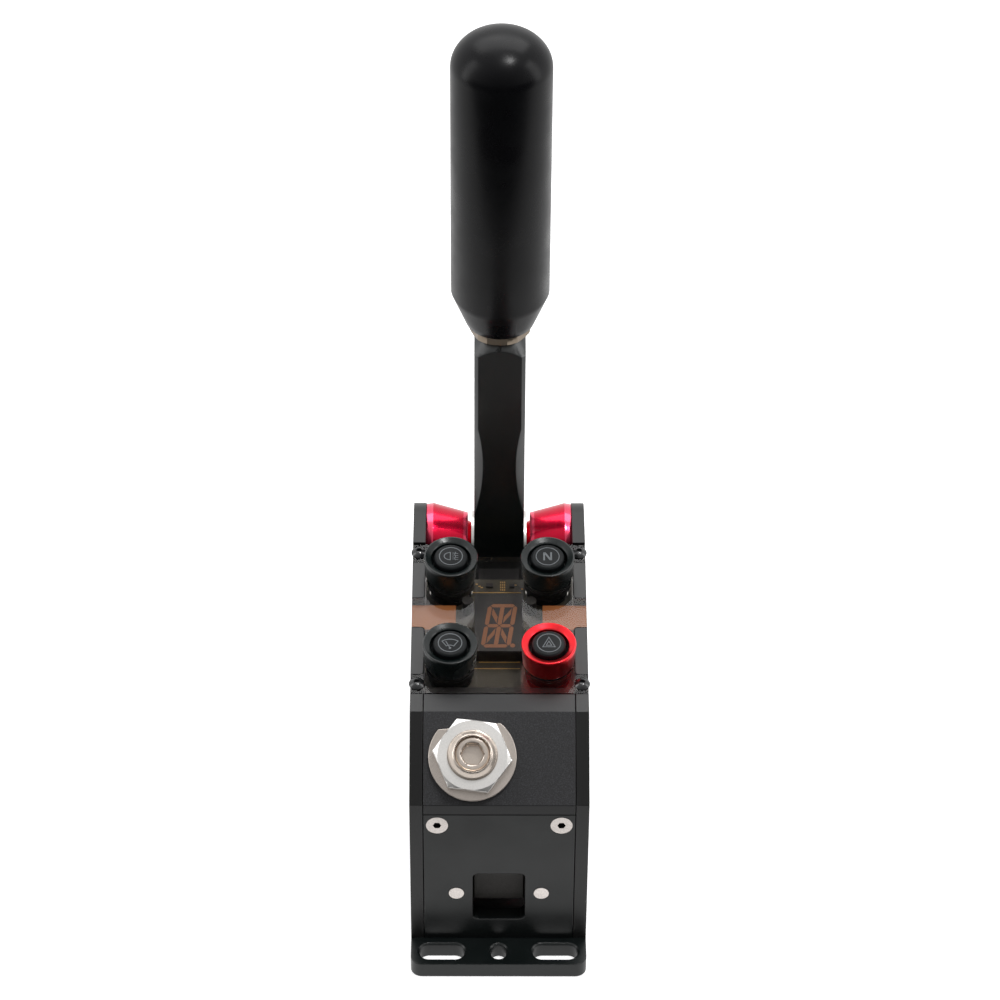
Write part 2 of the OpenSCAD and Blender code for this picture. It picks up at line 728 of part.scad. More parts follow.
module bezel(k, tint) color(tint) on_panel() translate([button_places[k][0], button_places[k][1], 0])
    difference() {
        rotate_extrude() polygon([
            [0, -neck_l], [neck_d / 2, -neck_l], [neck_d / 2, 0], [bezel_foot_d / 2 - edge / 2, 0],
            [bezel_foot_d / 2, edge / 2], [bezel_d / 2, bezel_h - rim_edge],
            [bezel_d / 2 - rim_edge, bezel_h], [0, bezel_h]
        ]);
        translate([0, 0, seat_low]) cylinder(d = bore_cap_d, h = lip_low - seat_low);
        translate([0, 0, lip_low - edge]) cylinder(d = mouth_in_d, h = bezel_h);
        translate([0, 0, bezel_h - mouth_h]) cylinder(d1 = mouth_in_d, d2 = mouth_d, h = mouth_h);
        translate([0, 0, bezel_h]) cylinder(d = mouth_d, h = cut);
        translate([0, 0, -neck_l - cut]) cylinder(d = switch_d + 2 * thread, h = switch_h + cut);
        translate([0, 0, -neck_l]) cylinder(d = switch_d / 2, h = neck_l + seat_low + cut);
    }
switch_d = neck_d - 3;
switch_h = 9;

module bezel_fog() bezel(0, black);
module bezel_neutral() bezel(1, black);
module bezel_wiper() bezel(2, black);
module bezel_hazard() bezel(3, red);

module bezel_nuts() color(steel) on_panel() for (p = button_places)
    translate([p[0], p[1], -cover_t - bezel_nut_t])
        ring(neck_d + 2 * bezel_nut_w, neck_d + 2 * thread, bezel_nut_t);

module button_switches() color("#232326") on_panel() for (p = button_places)
    translate([p[0], p[1], -neck_l + switch_h]) mirror([0, 0, 1]) {
        cylinder(d = switch_d, h = switch_h + 4);
        for (i = [-1, 1]) translate([i * switch_d / 4 - 0.4, -1.2, switch_h + 3]) cube([0.8, 2.4, 5]);
    }

module cap(k) color("#2b2c2f") on_panel() translate([button_places[k][0], button_places[k][1], cap_low])
    rotate_extrude() polygon([
        [0, 0], [flange_cap_d / 2, 0], [flange_cap_d / 2, cap_flange_t], [cap_d / 2, cap_flange_t],
        [cap_d / 2, cap_h - edge], [cap_d / 2 - edge, cap_h], [0, cap_h]
    ]);

module cap_fog() cap(0);
module cap_neutral() cap(1);
module cap_wiper() cap(2);
module cap_hazard() cap(3);

// Pivot

axle_csk_d = 9.6;
axle_shank_d = 5;
axle_csk_l = 12;
axle_seat = side_t - (axle_csk_d - axle_shank_d) / 2 - 0.6;
axle_l = inner_w + 2 * axle_seat - 2 * seam;

module on_pivot() {
    translate([0, pivot_y, pivot_z]) along_x() children();
}

module pivot_axle() color(steel) difference() {
    on_pivot() cylinder(d = axle_d, h = axle_l, center = true);
    for (side = [-1, 1]) axle_screw_frame(side) csk_hole(axle_csk_d, axle_shank_d, axle_csk_l);
}

module axle_screws() color(black) for (side = [-1, 1]) axle_screw_frame(side)
    csk_screw(axle_csk_d, axle_shank_d, axle_csk_l, axle_csk_d / 3);

module pivot_cone(side) color(red)
    translate([side * inner_w / 2, pivot_y, pivot_z]) rotate([0, -side * 90, 0]) rotate_extrude() polygon([
        [axle_d / 2 + fit, 0], [cone_r1 - cone_drop, 0], [cone_r1, cone_rim1], [cone_r2, cone_rim1 + cone_l],
        [cone_r2 - cone_drop, cone_rim1 + cone_l + cone_rim2], [cone_hub_r + edge, cone_rim1 + cone_l + cone_rim2],
        [cone_hub_r, cone_rim1 + cone_l + cone_rim2 + cone_hub_w],
        [axle_d / 2 + fit, cone_rim1 + cone_l + cone_rim2 + cone_hub_w]
    ]);

module pivot_cone_left() pivot_cone(-1);
module pivot_cone_right() pivot_cone(1);

module thrust_washers() color(steel) for (side = [-1, 1])
    on_pivot() translate([0, 0, side * (lever_w / 2 + side_gap + thrust_t / 2) - thrust_t / 2])
        ring(2 * thrust_r, axle_d + 2 * fit, thrust_t);

// Lever

// A big cutter laid across one upright edge, so that it scoops the edge out
module scallop(i, j) {
    sink = scallop_cut / sqrt(2);
    r = (pow(scallop_l / 2, 2) + sink * sink) / (2 * sink);
    translate([i * lever_w / 2, j * lever_d / 2, scallop_z]) rotate(i * j * 45)
        translate([i * (r - sink), 0, 0]) rotate([90, 0, 0])
            cylinder(r = r, h = 4 * scallop_cut, center = true);
}

module lever_bar() color(black) {
    tail_z = pivot_z - lever_tail;
    chamfer = lever_edge * sqrt(2);
    corner = norm([lever_w, lever_d]) / 2;
    difference() {
        translate([-lever_w / 2, pivot_y - lever_d / 2, tail_z])
            cube([lever_w, lever_d, lever_top - tail_z]);
        translate([0, pivot_y, 0]) {
            for (i = [-1, 1], j = [-1, 1]) {
                scallop(i, j);
                translate([i * lever_w / 2, j * lever_d / 2, (scallop_z + lever_top + cut) / 2]) rotate(45)
                    cube([chamfer, chamfer, lever_top + cut - scallop_z], center = true);
            }
            translate([0, 0, lever_top]) difference() {
                translate([0, 0, -corner]) cylinder(r = 2 * corner, h = 2 * corner);
                translate([0, 0, turned_r - 2 * corner]) cylinder(r1 = 2 * corner, r2 = 0, h = 2 * corner);
            }
            translate([0, 0, lever_top - stud_lever_l])
                cylinder(d = stud_grip_d + 2 * thread, h = stud_lever_l + cut);
            translate([0, 0, tail_z - cut]) cylinder(d = magnet_d + 2 * fit, h = magnet_t + cut);
        }
        on_pivot() cylinder(d = axle_d + 4 * slide_gap, h = lever_w + 2 * cut, center = true);
        for (side = [-1, 1]) on_pivot() translate([0, 0, side * (bearing_in + (bearing_w + cut) / 2)])
            cylinder(d = bearing_d + 2 * fit, h = bearing_w + cut, center = true);
        rocker_screw_frame()
            cylinder(d = rocker_shank_d + 2 * thread, h = 2 * rocker_screw_l, center = true);
    }
}
magnet_d = 6;
magnet_t = 3;

module lever_bearings() color(steel) for (side = [-1, 1])
    on_pivot() translate([0, 0, side * (bearing_in + bearing_w / 2) - bearing_w / 2])
        ring(bearing_d, axle_d + 2 * fit, bearing_w);

rocker_shank_d = 4;
rocker_screw_l = 18;
rocker_heel = 14;
rocker_screw_drop = [13, 24];

// Screws that hold the rocker to the lever's front face, with z out of that face
module rocker_screw_frame() {
    for (drop = rocker_screw_drop)
        translate([0, pivot_y - lever_d / 2, pivot_z - drop]) rotate([90, 0, 0]) children();
}

module rocker_arm() color(satin) {
    face = -lever_d / 2;
    up = -6;
    down = -lever_tail;
    difference() {
        union() {
            side_slab(-rocker_w / 2, rocker_w) translate([pivot_y, pivot_z]) polygon([
                [face, up], [face, down], [face - rocker_heel, down],
                [-arm_r * cos(slant_deg) - pad_low * sin(slant_deg),
                    -arm_r * sin(slant_deg) + pad_low * cos(slant_deg)],
                [-arm_r * cos(slant_deg) + touch_gap * sin(slant_deg),
                    -arm_r * sin(slant_deg) - touch_gap * cos(slant_deg)],
                [face - rocker_heel, up - rocker_heel * tan(slant_deg)], [face - rocker_heel / 2, up]
            ]);
            on_rocker() translate([-adjuster_x - plunger_d / 2 - 1.4, -arm_r - pad_l / 2, pad_low])
                cube([adjuster_x + plunger_d / 2 + 1.4 + rocker_w / 2, pad_l, rocker_t]);
        }
        rocker_screw_frame() {
            cylinder(d = rocker_shank_d + 2 * slide_gap, h = 4 * rocker_heel, center = true);
            translate([0, 0, rocker_heel / 2])
                cylinder(d = rocker_head_d + 2 * slide_gap, h = 4 * rocker_heel);
        }
    }
}
rocker_head_d = 7;
rocker_head_h = 4;

module rocker_screws() color(steel) rocker_screw_frame() translate([0, 0, rocker_heel / 2]) difference() {
    union() {
        cylinder(d = rocker_head_d, h = rocker_head_h);
        translate([0, 0, -rocker_screw_l]) cylinder(d = rocker_shank_d, h = rocker_screw_l);
    }
    translate([0, 0, rocker_head_h / 2])
        cylinder(d = rocker_head_d * 0.43 / cos(30), h = rocker_head_h, $fn = 6);
}

module sensor_magnet() color(steel) translate([0, pivot_y, pivot_z - lever_tail])
    cylinder(d = magnet_d, h = magnet_t);

// Grip

module grip_stud() color(steel) translate([0, pivot_y, lever_top - stud_lever_l])
    cylinder(d = stud_grip_d, h = stud_lever_l + lock_nut_t + stud_grip_l);

module hex_nut(af, height, bore) {
    corner_r = af / sqrt(3);
    difference() {
        intersection() {
            cylinder(r = corner_r, h = height, $fn = 6);
            rotate_extrude() polygon([
                [0, 0], [af / 2, 0], [corner_r, (corner_r - af / 2) * 0.55],
                [corner_r, height - (corner_r - af / 2) * 0.55], [af / 2, height], [0, height]
            ]);
        }
        translate([0, 0, -cut]) cylinder(d = bore, h = height + 2 * cut);
    }
}

module lock_nut() color("#9a8f84") translate([0, pivot_y, lock_nut_z]) rotate(-lock_nut_turn)
    intersection() {
        hex_nut(lock_nut_af, lock_nut_t, stud_grip_d + 2 * thread);
        cylinder(d = lock_nut_d, h = lock_nut_t);
    }

module grip() color(black) {
    r = grip_d / 2;
    shoulder = grip_taper + grip_straight;
    dome = [for (a = [0 : 6 : 84]) [r * cos(a), shoulder + grip_dome * sin(a)]];
    translate([0, pivot_y, grip_z]) difference() {
        rotate_extrude($fn = 96) polygon(concat(
            [[0, 0], [grip_foot_d / 2 - edge, 0], [grip_foot_d / 2, edge], [r, grip_taper]],
            dome, [[0, shoulder + grip_dome]]));
        translate([0, 0, -cut]) cylinder(d = stud_grip_d + 2 * thread, h = stud_grip_l + cut + thread);
    }
}

// Preload adjuster

module adjuster_barrel() color(steel) on_adjuster() difference() {
    rotate_extrude() polygon([
        [0, -barrel_in], [barrel_d / 2 - edge, -barrel_in], [barrel_d / 2, edge - barrel_in],
        [barrel_d / 2, stack_t + barrel_out * 0.35], [barrel_bore / 2 + edge, barrel_top], [0, barrel_top]
    ]);
    translate([0, 0, guide_ring - barrel_in])
        cylinder(d = barrel_bore + 2 * thread, h = barrel_in + barrel_top);
    translate([0, 0, -barrel_in - cut]) cylinder(d = plunger_d + 2 * fit, h = barrel_in);
}

module adjuster_washer() color(steel) on_adjuster() difference() {
    ring(washer_d, barrel_d + 2 * thread, washer_t);
    rotate(6) translate([-washer_d, washer_flat, -cut]) cube([2 * washer_d, washer_d, washer_t + 2 * cut]);
}

module adjuster_nut() color(steel) on_adjuster() translate([0, 0, washer_t]) rotate(-nut_turn)
    hex_nut(nut_af, nut_t, barrel_d + 2 * thread);

hex_lead = 0.6;

module preload_screw() color(steel) on_adjuster() translate([0, 0, preload_top - preload_l]) difference() {
    rotate_extrude() polygon([
        [0, 0], [barrel_bore / 2, 0], [barrel_bore / 2, preload_l - edge],
        [barrel_bore / 2 - edge, preload_l], [0, preload_l]
    ]);
    translate([0, 0, preload_l * 0.4]) cylinder(d = preload_hex / cos(30), h = preload_l, $fn = 6);
    translate([0, 0, preload_l - hex_lead])
        cylinder(d1 = preload_hex, d2 = preload_hex + 4 * hex_lead, h = 2 * hex_lead);
}

module spring_cap() color(steel) on_adjuster() translate([0, 0, cap_top_n - spring_cap_t])
    cylinder(d = barrel_bore, h = spring_cap_t);

module preload_spring() color("#8d8f94") on_adjuster() translate([0, 0, -flange_u])
    spring(preload_turns, preload_spring_d, preload_spring_l, wire_d);

module plunger() color(steel) on_adjuster() {
    tip_r = plunger_d * 0.7;
    rotate_extrude() {
        translate([0, -contact_u + tip_r]) intersection() {
            circle(tip_r);
            translate([0, -tip_r]) square([plunger_d / 2, tip_r]);
        }
        translate([0, -contact_u + tip_r]) square([plunger_d / 2, contact_u - flange_u - tip_r]);
        translate([0, -flange_u - flange_h]) square([barrel_bore / 2, flange_h]);
    }
}

// Return spring on its sloping seat, in line with the rocker pad

seat_top = pad_low - return_l;
seat_w = 18;
seat_l = 18;

module return_seat() color(satin) intersection() {
    on_rocker() translate([-seat_w / 2, -arm_r - seat_l / 2, seat_top - body_l])
        cube([seat_w, seat_l, body_l]);
    translate([-body_w, front_y, base_t]) cube([2 * body_w, body_l, pivot_z]);
}

module return_spring() color("#8d8f94") on_rocker() translate([0, -arm_r, seat_top])
    spring(return_turns, return_spring_d, return_l, wire_d);

// Electronics

board_w = 44;
board_up = 6;
board_top = 46;

module controller_board() color("#14261c") difference() {
    translate([-board_w / 2, front_y + plate_t + board_gap, base_t + board_up])
        cube([board_w, board_t, board_top - base_t - board_up]);
    stud_frame() translate([0, 0, -plate_t - 2 * board_gap]) cylinder(d = 3, h = 2 * board_gap);
}

socket_w = 17.4;
socket_h = 20.2;
socket_d = board_gap - 2;
contact_d = 0.9;
contact_l = 5;
contact_pitch = 2.54;

// A block of contacts on the board, behind the window: two rows of four sockets, open below
module data_socket() color("#55565a") {
    socket_z = base_t + window_up + window_h - socket_h;
    socket_y = front_y + plate_t + board_gap - socket_d;
    difference() {
        translate([-socket_w / 2, socket_y, socket_z]) cube([socket_w, socket_d, socket_h]);
        for (i = [-1.5 : 1.5], j = [-0.5, 0.5])
            translate([i * contact_pitch, socket_y + socket_d / 2 + j * contact_pitch, socket_z - cut])
                cylinder(d = contact_d, h = contact_l + cut);
    }
}

sensor_gap = 6;
sensor_z = pivot_z - lever_tail - sensor_gap;
post_w = 14;
post_t = 8;

module sensor_post() color(satin) translate([-post_w / 2, pivot_y - post_t / 2, base_t])
    cube([post_w, post_t, sensor_z - board_t - base_t]);

module sensor_board() color("#14261c")
    translate([-post_w / 2 - 1, pivot_y - post_t / 2 - 1, sensor_z - board_t])
    cube([post_w + 2, post_t + 2, board_t]);

base_plate();
side_plate_left();
side_plate_right();
front_plate();
rear_plate();
nose_block();
front_screws();
front_studs();
side_screws();
base_screws();
top_cover();
cover_screws();
light_guide_left();
light_guide_right();
display_board();
display_module();
board_spacers();
bezel_fog();
bezel_neutral();
bezel_wiper();
bezel_hazard();
bezel_nuts();
button_switches();
cap_fog();
cap_neutral();
cap_wiper();
cap_hazard();
pivot_axle();
axle_screws();
pivot_cone_left();
pivot_cone_right();
thrust_washers();
lever_bar();
lever_bearings();
rocker_arm();
rocker_screws();
sensor_magnet();
grip_stud();
lock_nut();
grip();
adjuster_barrel();
adjuster_washer();
adjuster_nut();
preload_screw();
spring_cap();
preload_spring();
plunger();
return_seat();
return_spring();
controller_board();
data_socket();
sensor_post();
sensor_board();
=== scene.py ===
"""Looks of a sequential sim racing gear shifter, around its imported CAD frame. Metres throughout."""

import json
import math

import bmesh
import bpy
from mathutils import Matrix, Vector


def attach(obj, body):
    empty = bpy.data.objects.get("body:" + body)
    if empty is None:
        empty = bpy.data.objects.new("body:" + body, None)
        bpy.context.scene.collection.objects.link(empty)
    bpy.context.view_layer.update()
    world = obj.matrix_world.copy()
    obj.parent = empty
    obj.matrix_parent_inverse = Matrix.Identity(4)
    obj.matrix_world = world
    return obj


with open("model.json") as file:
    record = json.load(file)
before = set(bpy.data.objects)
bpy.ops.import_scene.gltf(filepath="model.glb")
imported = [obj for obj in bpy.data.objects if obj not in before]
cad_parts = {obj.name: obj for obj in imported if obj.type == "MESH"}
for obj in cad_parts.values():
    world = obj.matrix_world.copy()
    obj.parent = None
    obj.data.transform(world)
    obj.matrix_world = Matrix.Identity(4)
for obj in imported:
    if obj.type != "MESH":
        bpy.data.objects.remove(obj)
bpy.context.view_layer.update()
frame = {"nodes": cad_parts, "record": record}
NODES = frame["nodes"]

MM = 0.001
ACROSS = Vector((1, 0, 0))
PANEL_TILT = math.radians(8)
PANEL_UP = Vector((0, math.cos(PANEL_TILT), math.sin(PANEL_TILT)))
PANEL_OUT = Vector((0, -math.sin(PANEL_TILT), math.cos(PANEL_TILT)))
SLANT_TILT = math.radians(40)
SLANT_OUT = Vector((0, -math.sin(SLANT_TILT), math.cos(SLANT_TILT)))
SLANT_MATCH = 0.98
EDGE_SAMPLES = 4
COVER_IOR = 1.32
COVER_ROUGH = 0.03


# Materials

def shader(name):
    """A new material with its Principled node and a function that adds linked nodes."""
    mat = bpy.data.materials.new(name)
    mat.use_nodes = True
    tree = mat.node_tree

    def add(kind, inputs=None, **settings):
        node = tree.nodes.new(kind)
        for key, value in settings.items():
            setattr(node, key, value)
        for key, value in (inputs or {}).items():
            if isinstance(value, bpy.types.NodeSocket):
                tree.links.new(value, node.inputs[key])
            else:
                node.inputs[key].default_value = value
        return node

    return mat, tree, tree.nodes["Principled BSDF"], add


def rgba(colour, gain=1.0):
    return tuple(min(1.0, c * gain) for c in colour) + (1.0,)


def round_edges(tree, add, relief, edge):
    """Shades the edges of a finish as if they were rounded by edge."""
    rounded = add("ShaderNodeBevel", {"Radius": edge}, samples=EDGE_SAMPLES)
    tree.links.new(rounded.outputs["Normal"], relief.inputs["Normal"])


def surface(name, colour, rough, metal=0.0, grain=2500.0, stretch=(1, 1, 1), tint=0.12, rough_swing=0.06,
            bump=0.15, bump_depth=0.02 * MM, specular=0.5, edge=0.0):
    """A solid finish: fine grain in its colour and roughness, and a shallow bump of the same grain."""
    mat, tree, bsdf, add = shader(name)
    place = add("ShaderNodeTexCoord").outputs["Object"]
    laid = add("ShaderNodeMapping", {"Vector": place, "Scale": stretch}).outputs["Vector"]
    fine = add("ShaderNodeTexNoise", {"Vector": laid, "Scale": grain, "Detail": 4.0}).outputs["Fac"]
    broad = add("ShaderNodeTexNoise", {"Vector": place, "Scale": grain / 40, "Detail": 2.0})
    ramp = add("ShaderNodeValToRGB", {"Fac": fine})
    ramp.color_ramp.elements[0].position = 0.3
    ramp.color_ramp.elements[1].position = 0.7
    ramp.color_ramp.elements[0].color = rgba(colour, 1 - tint)
    ramp.color_ramp.elements[1].color = rgba(colour, 1 + tint)
    swing = add("ShaderNodeMapRange", {"Value": broad.outputs["Fac"], "From Min": 0.3, "From Max": 0.7,
                                       "To Min": rough - rough_swing, "To Max": rough + rough_swing})
    relief = add("ShaderNodeBump", {"Height": fine, "Strength": bump, "Distance": bump_depth})
    tree.links.new(ramp.outputs["Color"], bsdf.inputs["Base Color"])
    tree.links.new(swing.outputs["Result"], bsdf.inputs["Roughness"])
    tree.links.new(relief.outputs["Normal"], bsdf.inputs["Normal"])
    bsdf.inputs["Metallic"].default_value = metal
    bsdf.inputs["Specular IOR Level"].default_value = specular
    if edge:
        round_edges(tree, add, relief, edge)
    return mat


def sloped(name, colour, rough, slope_rough, slope_shine, sparkle, slope_bump, edge=0.0):
    """Satin metal whose faces along the nose's slope alone have another shine and a sparkling grain."""
    mat, tree, bsdf, add = shader(name)
    coord = add("ShaderNodeTexCoord")
    facing = add("ShaderNodeVectorMath", {0: coord.outputs["Normal"], 1: tuple(SLANT_OUT)},
                 operation="DOT_PRODUCT")
    along = add("ShaderNodeMath", {0: facing.outputs["Value"], 1: SLANT_MATCH}, operation="GREATER_THAN")
    slope = along.outputs["Value"]
    speck = add("ShaderNodeTexNoise",
                {"Vector": coord.outputs["Object"], "Scale": 2600.0, "Detail": 3.0})
    spark = add("ShaderNodeMapRange",
                {"Value": speck.outputs["Fac"], "From Min": 0.45, "From Max": 0.75})
    coated = add("ShaderNodeMath", {0: spark.outputs["Result"], 1: slope}, operation="MULTIPLY")
    tone = add("ShaderNodeMix", {"Factor": coated.outputs["Value"], 6: rgba(colour),
                                 7: rgba(colour, sparkle)}, data_type="RGBA")
    dull = add("ShaderNodeMapRange", {"Value": slope, "To Min": rough, "To Max": slope_rough})
    shine = add("ShaderNodeMapRange", {"Value": slope, "To Min": 0.5, "To Max": slope_shine})
    calm = add("ShaderNodeMapRange", {"Value": slope, "To Min": 0.03, "To Max": slope_bump})
    relief = add("ShaderNodeBump", {"Height": speck.outputs["Fac"], "Strength": calm.outputs["Result"],
                                    "Distance": 0.04 * MM})
    tree.links.new(tone.outputs[2], bsdf.inputs["Base Color"])
    tree.links.new(dull.outputs["Result"], bsdf.inputs["Roughness"])
    tree.links.new(shine.outputs["Result"], bsdf.inputs["Specular IOR Level"])
    if edge:
        round_edges(tree, add, relief, edge)
    tree.links.new(relief.outputs["Normal"], bsdf.inputs["Normal"])
    return mat


def turned(name, colour, rough, axis, lines=6000.0, coat=0.25):
    """Turned and anodised metal, with faint tool lines across the given axis (0, 1 or 2)."""
    mat, tree, bsdf, add = shader(name)
    place = add("ShaderNodeTexCoord").outputs["Object"]
    squash = [0.001, 0.001, 0.001]
    squash[axis] = 1.0
    laid = add("ShaderNodeMapping", {"Vector": place, "Scale": squash}).outputs["Vector"]
    cutter = add("ShaderNodeTexNoise", {"Vector": laid, "Scale": lines, "Detail": 3.0}).outputs["Fac"]
    ramp = add("ShaderNodeValToRGB", {"Fac": cutter})
    ramp.color_ramp.elements[0].color = rgba(colour, 0.92)
    ramp.color_ramp.elements[1].color = rgba(colour, 1.08)
    swing = add("ShaderNodeMapRange", {"Value": cutter, "To Min": rough - 0.03, "To Max": rough + 0.05})
    tree.links.new(ramp.outputs["Color"], bsdf.inputs["Base Color"])
    tree.links.new(swing.outputs["Result"], bsdf.inputs["Roughness"])
    bsdf.inputs["Metallic"].default_value = 1.0
    bsdf.inputs["Coat Weight"].default_value = coat
    return mat


def smoke_sheet(name, colour):
    """Smoke-tinted clear sheet with a polished face and faint wiping marks."""
    mat, tree, bsdf, add = shader(name)
    place = add("ShaderNodeTexCoord").outputs["Object"]
    wipe = add("ShaderNodeTexNoise", {"Vector": place, "Scale": 60.0, "Detail": 5.0}).outputs["Fac"]
    gloss = add("ShaderNodeMapRange", {"Value": wipe, "To Min": 0.0, "To Max": COVER_ROUGH})
    tree.links.new(gloss.outputs["Result"], bsdf.inputs["Roughness"])
    bsdf.inputs["Base Color"].default_value = rgba(colour)
    bsdf.inputs["Transmission Weight"].default_value = 1.0
    bsdf.inputs["IOR"].default_value = COVER_IOR
    return mat


def board_finish(name, colour, copper):
    """Solder mask over copper tracks, which show as a slightly lighter pattern."""
    mat, tree, bsdf, add = shader(name)
    place = add("ShaderNodeTexCoord").outputs["Object"]
    grid = add("ShaderNodeTexBrick", {"Vector": place, "Scale": 240.0, "Mortar Size": 0.12,
                                      "Color1": rgba(colour), "Color2": rgba(colour, 1.3),
                                      "Mortar": rgba(copper)})
    relief = add("ShaderNodeBump",
                 {"Height": grid.outputs["Fac"], "Strength": 0.2, "Distance": 0.03 * MM})
    tree.links.new(grid.outputs["Color"], bsdf.inputs["Base Color"])
    tree.links.new(relief.outputs["Normal"], bsdf.inputs["Normal"])
    bsdf.inputs["Roughness"].default_value = 0.4
    return mat


ALONG_Y = (30, 1, 30)
LOOKS = {
    "black_anodised": surface("black_anodised", (0.003, 0.006, 0.006), 0.36, bump=0.03, edge=0.5 * MM),
    "side_black": sloped("side_black", (0.011, 0.011, 0.011), 0.36, 0.30, 0.3, 1.0, 0.03, 0.35 * MM),
    "lever_black": surface("lever_black", (0.003, 0.006, 0.006), 0.34, bump=0.05, specular=0.9),
    "bezel_black": surface("bezel_black", (0.002, 0.006, 0.006), 0.26, bump=0.04),
    "front_satin": surface("front_satin", (0.003, 0.005, 0.005), 0.34, bump=0.05, specular=0.55),
    "inner_satin": surface("inner_satin", (0.025, 0.025, 0.027), 0.45),
    "nose_satin": sloped("nose_satin", (0.006, 0.006, 0.007), 0.36, 0.56, 0.5, 7.0, 0.6),
    "cone_red": turned("cone_red", (0.66, 0.005, 0.038), 0.24, 0),
    # A lighter, pinker red for the pivot cones' rims: a painted highlight
    "rim_highlight_red": turned("rim_highlight_red", (0.95, 0.070, 0.150), 0.22, 0, coat=0.5),
    "bezel_red": turned("bezel_red", (0.86, 0.024, 0.034), 0.28, 2),
    "steel": surface("steel", (0.92, 0.90, 0.87), 0.30, 1.0, 1800.0, tint=0.05, rough_swing=0.04,
                     bump=0.05),
    "screw_steel": surface("screw_steel", (0.82, 0.76, 0.72), 0.36, 1.0, 2200.0),
    "warm_steel": surface("warm_steel", (0.27, 0.22, 0.17), 0.30, 1.0, 1500.0, ALONG_Y, bump=0.05),
    "barrel_steel": surface("barrel_steel", (0.66, 0.58, 0.51), 0.24, 1.0, 1800.0, tint=0.05, bump=0.03),
    "washer_steel": surface("washer_steel", (0.58, 0.52, 0.47), 0.30, 1.0, 1500.0, tint=0.05, bump=0.04),
    # Near-black steel: painted shade on the nuts and spacers under the cover, and in the front screws'
    # sockets
    "painted_shade_steel": surface("painted_shade_steel", (0.05, 0.05, 0.05), 0.6, 1.0, bump=0.05),
    "spring_steel": surface("spring_steel", (0.36, 0.37, 0.39), 0.35, 1.0),
    "black_steel": surface("black_steel", (0.012, 0.013, 0.014), 0.18, bump=0.03, specular=0.8),
    "smoke_clear": smoke_sheet("smoke_clear", (0.80, 0.76, 0.72)),
    "smoke_edge": surface("smoke_edge", (0.028, 0.028, 0.027), 0.3, bump=0.02),
    "light_guide": surface("light_guide", (0.43, 0.16, 0.055), 0.55, grain=900.0, tint=0.04,
                           specular=0.1),
    "circuit_board": board_finish("circuit_board", (0.024, 0.023, 0.019), (0.05, 0.045, 0.03)),
    "display_face": surface("display_face", (0.022, 0.023, 0.026), 0.5, tint=0.06),
    "black_plastic": surface("black_plastic", (0.015, 0.015, 0.016), 0.5),
    "cap_plastic": surface("cap_plastic", (0.010, 0.012, 0.013), 0.45, specular=0.18),
    "grey_plastic": surface("grey_plastic", (0.07, 0.065, 0.06), 0.5),
    "grip_black": surface("grip_black", (0.003, 0.003, 0.004), 0.30, grain=3500.0, bump=0.03,
                          specular=0.18),
    "icon_grey": surface("icon_grey", (0.20, 0.215, 0.23), 0.5, tint=0.04, bump=0.02),
    "segment_brown": surface("segment_brown", (0.30, 0.125, 0.06), 0.5, tint=0.05, bump=0.02),
    "gold": surface("gold", (0.60, 0.36, 0.10), 0.5, tint=0.05, bump=0.02),
}
NODE_LOOKS = {
    "lever_bar": "lever_black", "side_plate_left": "side_black", "side_plate_right": "side_black",
    # The nuts and spacers under the cover take near-black steel: painted shade
    "bezel_nuts": "painted_shade_steel", "board_spacers": "painted_shade_steel", "front_plate": "front_satin",
    "nose_block": "nose_satin",
    "pivot_cone_left": "cone_red", "pivot_cone_right": "cone_red", "bezel_hazard": "bezel_red",
    "front_screws": "screw_steel", "front_studs": "screw_steel", "adjuster_washer": "washer_steel",
    "bezel_fog": "bezel_black", "bezel_neutral": "bezel_black", "bezel_wiper": "bezel_black",
    "adjuster_barrel": "barrel_steel", "preload_screw": "barrel_steel",
}
SLOT_LOOKS = {"satin_black": "inner_satin", "red_anodised": "cone_red"}
for part in frame["record"]["subparts"]:
    slot_look = SLOT_LOOKS.get(part["material_slot"], part["material_slot"])
    mesh = NODES[part["node"]].data
    mesh.materials.clear()
    mesh.materials.append(LOOKS[NODE_LOOKS.get(part["node"], slot_look)])


# Broken edges on the machined pieces, in millimetres

EDGE_BREAKS = {
    "front_plate": 0.3, "nose_block": 0.3, "lever_bar": 0.2, "rear_plate": 0.4, "adjuster_nut": 0.2,
    "adjuster_washer": 0.25, "adjuster_barrel": 0.4, "preload_screw": 0.2, "lock_nut": 0.15, "grip": 0.3,
    "light_guide_left": 0.2, "light_guide_right": 0.2, "pivot_cone_left": 0.12, "pivot_cone_right": 0.12,
    "data_socket": 0.2,
}
BUTTONS = ("fog", "neutral", "wiper", "hazard")
EDGE_BREAKS.update({"bezel_" + name: 0.15 for name in BUTTONS})
EDGE_BREAKS.update({"cap_" + name: 0.12 for name in BUTTONS})
SHARP = math.radians(35)
RIM_SHARP = math.radians(14)
FLAT = math.radians(0.2)
WELD_GAP = 0.002
COVER_INSET = 0.03


def weld_mesh(node):
    """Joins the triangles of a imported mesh."""
    piece = NODES[node]
    weld = piece.modifiers.new("weld", "WELD")
    weld.merge_threshold = WELD_GAP * MM
    return piece


def break_edges(node, width, sharp):
    """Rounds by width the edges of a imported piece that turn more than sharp."""
    piece = weld_mesh(node)
    flats = piece.modifiers.new("flat faces", "DECIMATE")
    flats.decimate_type = "DISSOLVE"
    flats.angle_limit = FLAT
    rounding = piece.modifiers.new("edge break", "BEVEL")
    rounding.width = width
    rounding.segments = 2
    rounding.limit_method = "ANGLE"
    rounding.angle_limit = sharp
    rounding.harden_normals = True
    rounding.use_clamp_overlap = False


for name, width in EDGE_BREAKS.items():
    break_edges(name, width * MM, RIM_SHARP if name.startswith("pivot_cone") else SHARP)

